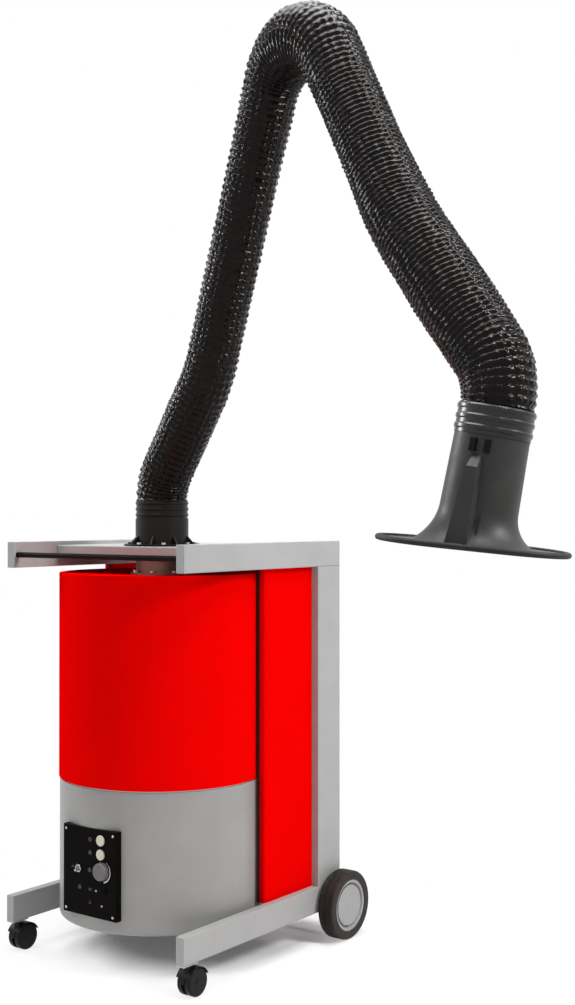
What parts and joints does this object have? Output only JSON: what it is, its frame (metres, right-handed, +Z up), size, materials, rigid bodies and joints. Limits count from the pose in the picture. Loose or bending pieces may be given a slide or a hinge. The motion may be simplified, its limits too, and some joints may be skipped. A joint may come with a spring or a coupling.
{
  "type": "mobile welding fume extractor",
  "caption": "Wheeled drum-shaped fume extractor on a box-section frame, with a folding ribbed hose arm that swivels on top and ends in a tilting, turning suction hood.",
  "frame": {"origin": "on the floor, straight under the shared axis of drum and arm swivel", "axes": "+Z up; -Y to the front, where the control panel and the push bar are; +X to the right as seen from the front"},
  "size_m": [2.0132, 1.2417, 2.6952],
  "materials": {
    "frame_paint": "satin light grey paint",
    "red_paint": "gloss red paint",
    "drum_paint": "metallic grey paint",
    "black_paint": "black paint",
    "duct_metal": "dull sheet steel",
    "plain_steel": "plain steel",
    "bright_metal": "bright plated",
    "black_plastic": "satin black plastic",
    "hood_plastic": "satin dark plastic",
    "edge_rubber": "black edge trim",
    "hose_cloth": "black coated cloth",
    "tyre_rubber": "dark tread",
    "rim_plastic": "grey moulding",
    "cream_plastic": "cream caps",
    "knob_plastic": "grey knob",
    "lamp_lens": "clear lens",
    "filter_paper": "pleated filter cloth",
    "circuit_board": "green board"
  },
  "bodies": {
    "chassis": {"right_top_beam": "frame_paint", "left_top_beam": "frame_paint", "right_post": "frame_paint", "left_post": "frame_paint", "right_base_beam": "frame_paint", "left_base_beam": "frame_paint", "beam_end_caps": "frame_paint", "top_plate": "frame_paint", "drum_cross_bars": "frame_paint", "right_side_panel": "red_paint", "left_side_panel": "red_paint", "filter_housing": "red_paint", "fan_housing": "drum_paint", "handle_bar": "black_paint", "arm_base": "black_paint", "inlet_duct": "duct_metal", "rear_axle": "plain_steel", "castor_plates": "plain_steel", "separator_plate": "plain_steel", "fan_motor": "plain_steel", "flange_bolts": "bright_metal", "panel_screws": "bright_metal", "toggle_nut": "bright_metal", "control_box": "black_plastic", "buzzer_cap": "black_plastic", "cable_gland": "black_plastic", "status_lamps": "lamp_lens", "filter_cartridge": "filter_paper", "control_board": "circuit_board"},
    "arm_swivel": {"swivel_ring": "black_paint", "base_cuff": "black_plastic", "base_fork": "plain_steel", "base_pin": "plain_steel", "hose_base_bend": "hose_cloth"},
    "lower_arm": {"lower_link": "plain_steel", "elbow_pin": "plain_steel", "hose_lower": "hose_cloth", "hose_elbow": "hose_cloth"},
    "upper_arm": {"upper_link": "plain_steel", "hose_upper": "hose_cloth", "hose_hood_bend": "hose_cloth"},
    "hood_knuckle": {"hood_cuff": "hood_plastic", "hood_pin": "plain_steel"},
    "hood": {"hood": "hood_plastic", "hood_rim": "edge_rubber", "hood_grip": "hood_plastic", "hood_latches": "hood_plastic"},
    "right_castor": {"right_castor_hood": "black_plastic"},
    "left_castor": {"left_castor_hood": "black_plastic"},
    "right_castor_pair": {"right_castor_wheels": "black_plastic"},
    "left_castor_pair": {"left_castor_wheels": "black_plastic"},
    "right_wheel": {"right_wheel_tyre": "tyre_rubber", "right_wheel_rim": "rim_plastic"},
    "left_wheel": {"left_wheel_tyre": "tyre_rubber", "left_wheel_rim": "rim_plastic"},
    "impeller": {"fan_impeller": "plain_steel"},
    "knob": {"speed_knob": "knob_plastic"},
    "start": {"start_button": "cream_plastic"},
    "stop": {"stop_button": "cream_plastic"},
    "toggle": {"toggle_lever": "bright_metal"}
  },
  "joints": [
    {"name": "arm_swivel", "type": "hinge", "parent": "chassis", "child": "arm_swivel", "pos_m": [0, 0, 1.302], "axis": [0, 0, 1], "range_deg": [-180, 180]},
    {"name": "lower_arm_tilt", "type": "hinge", "parent": "arm_swivel", "child": "lower_arm", "pos_m": [0, 0, 1.368], "axis": [0.3312, 0.9436, 0], "range_deg": [-28, 35], "deforming": ["hose_base_bend"]},
    {"name": "elbow_fold", "type": "hinge", "parent": "lower_arm", "child": "upper_arm", "pos_m": [0.69345, -0.24338, 2.64503], "axis": [-0.3312, -0.9436, 0], "range_deg": [-18, 85], "deforming": ["hose_elbow"]},
    {"name": "hood_tilt", "type": "hinge", "parent": "upper_arm", "child": "hood_knuckle", "pos_m": [1.44739, -0.508, 1.64839], "axis": [0.2054, 0.9732, -0.103], "range_deg": [-45, 30], "deforming": ["hose_hood_bend"]},
    {"name": "hood_turn", "type": "hinge", "parent": "hood_knuckle", "child": "hood", "pos_m": [1.38379, -0.53445, 1.27163], "axis": [0.166, 0.069, 0.9837], "range_deg": [-180, 180]},
    {"name": "right_castor_swivel", "type": "hinge", "parent": "chassis", "child": "right_castor", "pos_m": [0.345, -0.279, 0.094], "axis": [0, 0, 1], "continuous": true},
    {"name": "right_castor_roll", "type": "hinge", "parent": "right_castor", "child": "right_castor_pair", "pos_m": [0.345, -0.257, 0.04], "axis": [1, 0, 0], "continuous": true},
    {"name": "right_wheel_roll", "type": "hinge", "parent": "chassis", "child": "right_wheel", "pos_m": [0.396, 0.421, 0.107], "axis": [1, 0, 0], "continuous": true},
    {"name": "left_castor_swivel", "type": "hinge", "parent": "chassis", "child": "left_castor", "pos_m": [-0.345, -0.279, 0.094], "axis": [0, 0, 1], "continuous": true},
    {"name": "left_castor_roll", "type": "hinge", "parent": "left_castor", "child": "left_castor_pair", "pos_m": [-0.345, -0.257, 0.04], "axis": [1, 0, 0], "continuous": true},
    {"name": "left_wheel_roll", "type": "hinge", "parent": "chassis", "child": "left_wheel", "pos_m": [-0.396, 0.421, 0.107], "axis": [1, 0, 0], "continuous": true},
    {"name": "impeller_spin", "type": "hinge", "parent": "chassis", "child": "impeller", "pos_m": [0, 0, 0.382], "axis": [0, 0, 1], "continuous": true},
    {"name": "knob_turn", "type": "hinge", "parent": "chassis", "child": "knob", "pos_m": [0.052, -0.315, 0.311], "axis": [0, -1, 0], "range_deg": [-135, 135]},
    {"name": "start_press", "type": "slide", "parent": "chassis", "child": "start", "axis": [0, 1, 0], "range_m": [0, 0.003], "stiffness_N_per_m": 600, "springref_m": -0.002},
    {"name": "stop_press", "type": "slide", "parent": "chassis", "child": "stop", "axis": [0, 1, 0], "range_m": [0, 0.003], "stiffness_N_per_m": 600, "springref_m": -0.002},
    {"name": "toggle_flip", "type": "hinge", "parent": "chassis", "child": "toggle", "pos_m": [-0.042, -0.313, 0.307], "axis": [-1, 0, 0], "range_deg": [0, 24]}
  ]
}
